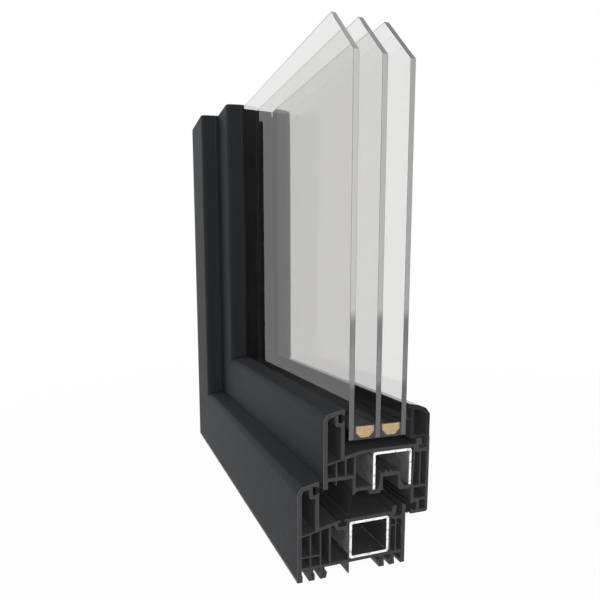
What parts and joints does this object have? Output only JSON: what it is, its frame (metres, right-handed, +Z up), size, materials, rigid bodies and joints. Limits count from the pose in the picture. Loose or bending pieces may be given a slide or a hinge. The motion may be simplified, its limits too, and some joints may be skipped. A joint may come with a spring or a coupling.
{
  "type": "pvc window corner section",
  "caption": "Cut-away corner of a triple-glazed PVC window that shows its chambered profiles, steels, seals and glass edge.",
  "frame": {"origin": "centre of the bounding box at the level of the sill's feet", "axes": "+X along the sill from the corner to its cut end, +Y through the window from outside to the room, +Z up"},
  "size_m": [0.386, 0.1002, 0.386],
  "materials": {
    "pvc_core": "matt through-coloured PVC with fine saw marks on the cut faces",
    "anthracite_foil": "fine-grained matt anthracite laminate foil",
    "galvanised_steel": "galvanised steel with bright sawn ends",
    "clear_glass": "clear float glass with ground grey edges",
    "black_rubber": "matt black sealing rubber",
    "grey_rubber": "matt dark grey sealing rubber",
    "spacer_wall": "matt dark grey warm-edge spacer",
    "desiccant": "beige granular drying agent",
    "edge_sealant": "matt grey edge sealant",
    "setting_block": "matt black plastic"
  },
  "bodies": {
    "root": {"bead_seal_bottom": "black_rubber", "bead_seal_side": "black_rubber", "centre_seal_bottom": "black_rubber", "centre_seal_side": "black_rubber", "desiccant_inner_bottom": "desiccant", "desiccant_inner_side": "desiccant", "desiccant_outer_bottom": "desiccant", "desiccant_outer_side": "desiccant", "edge_sealant_inner_bottom": "edge_sealant", "edge_sealant_inner_side": "edge_sealant", "edge_sealant_outer_bottom": "edge_sealant", "edge_sealant_outer_side": "edge_sealant", "frame_jamb": "pvc_core", "frame_jamb_foil": "anthracite_foil", "frame_jamb_steel": "galvanised_steel", "frame_outer_seal_bottom": "grey_rubber", "frame_outer_seal_side": "grey_rubber", "frame_sill": "pvc_core", "frame_sill_foil": "anthracite_foil", "frame_sill_steel": "galvanised_steel", "glass_pane_inner": "clear_glass", "glass_pane_middle": "clear_glass", "glass_pane_outer": "clear_glass", "glazing_bead_bottom": "pvc_core", "glazing_bead_side": "pvc_core", "glazing_block_bottom": "setting_block", "glazing_block_side": "setting_block", "glazing_seal_bottom": "grey_rubber", "glazing_seal_side": "grey_rubber", "sash_inner_seal_bottom": "black_rubber", "sash_inner_seal_side": "black_rubber", "sash_rail": "pvc_core", "sash_rail_foil": "anthracite_foil", "sash_rail_steel": "galvanised_steel", "sash_stile": "pvc_core", "sash_stile_foil": "anthracite_foil", "sash_stile_steel": "galvanised_steel", "spacer_inner_bottom": "spacer_wall", "spacer_inner_side": "spacer_wall", "spacer_outer_bottom": "spacer_wall", "spacer_outer_side": "spacer_wall"}
  },
  "joints": []
}
